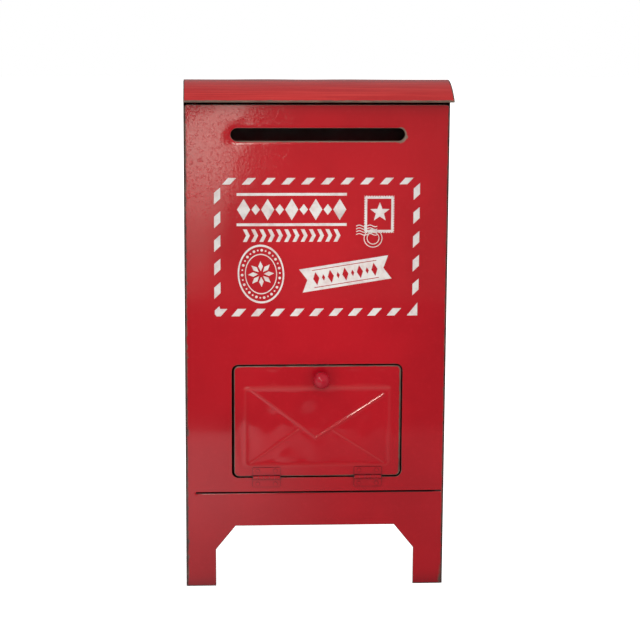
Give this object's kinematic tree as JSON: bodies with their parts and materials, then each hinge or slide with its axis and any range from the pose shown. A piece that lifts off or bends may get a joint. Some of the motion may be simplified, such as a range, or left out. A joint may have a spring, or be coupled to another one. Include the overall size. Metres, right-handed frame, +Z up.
{
  "type": "tin post box money box",
  "caption": "Standing sheet-metal post box money box with a long slot, an arched rear-hinged lid and a drop-down front door with a ball knob.",
  "frame": {"origin": "on the floor, under the middle of the whole object's box (lid overhang, knob and rear hinges included)", "axes": "+Z up, the slot and the door face -Y, +X to the right seen from the front"},
  "size_m": [0.254, 0.1228, 0.4886],
  "materials": {
    "red_enamel": "gloss red enamel on tinplate, worn dark along the edges",
    "red_lacquer": "gloss red lacquer on a turned wooden ball",
    "bare_steel": "zinc-plated, slightly dull",
    "ferrite": "matt dark grey",
    "white_print": "thin white screen print"
  },
  "bodies": {
    "case": {"front_panel": "red_enamel", "left_side_panel": "red_enamel", "right_side_panel": "red_enamel", "back_panel": "red_enamel", "floor_panel": "red_enamel", "catch_bracket": "bare_steel", "catch_magnet": "ferrite", "door_hinge_left_body_leaf": "red_enamel", "door_hinge_right_body_leaf": "red_enamel", "door_hinge_left_pin": "bare_steel", "door_hinge_right_pin": "bare_steel", "door_hinge_body_rivets": "red_enamel", "lid_hinge_left_body_leaf": "red_enamel", "lid_hinge_right_body_leaf": "red_enamel", "lid_hinge_left_pin": "bare_steel", "lid_hinge_right_pin": "bare_steel", "lid_hinge_body_rivets": "red_enamel"},
    "lid": {"lid_shell": "red_enamel", "lid_hinge_left_lid_leaf": "red_enamel", "lid_hinge_right_lid_leaf": "red_enamel", "lid_hinge_lid_rivets": "red_enamel"},
    "door": {"door_panel": "red_enamel", "door_knob": "red_lacquer", "knob_screw": "bare_steel", "knob_washer": "bare_steel", "door_hinge_left_door_leaf": "red_enamel", "door_hinge_right_door_leaf": "red_enamel", "door_hinge_door_rivets": "red_enamel"}
  },
  "joints": [
    {"name": "lid_hinge", "type": "hinge", "parent": "case", "child": "lid", "pos_m": [-0.0013, 0.0598, 0.4607], "axis": [-1, 0, 0], "range_deg": [0, 170]},
    {"name": "door_hinge", "type": "hinge", "parent": "case", "child": "door", "pos_m": [0.0006, -0.0416, 0.1093], "axis": [1, 0, 0], "range_deg": [0, 160]}
  ]
}
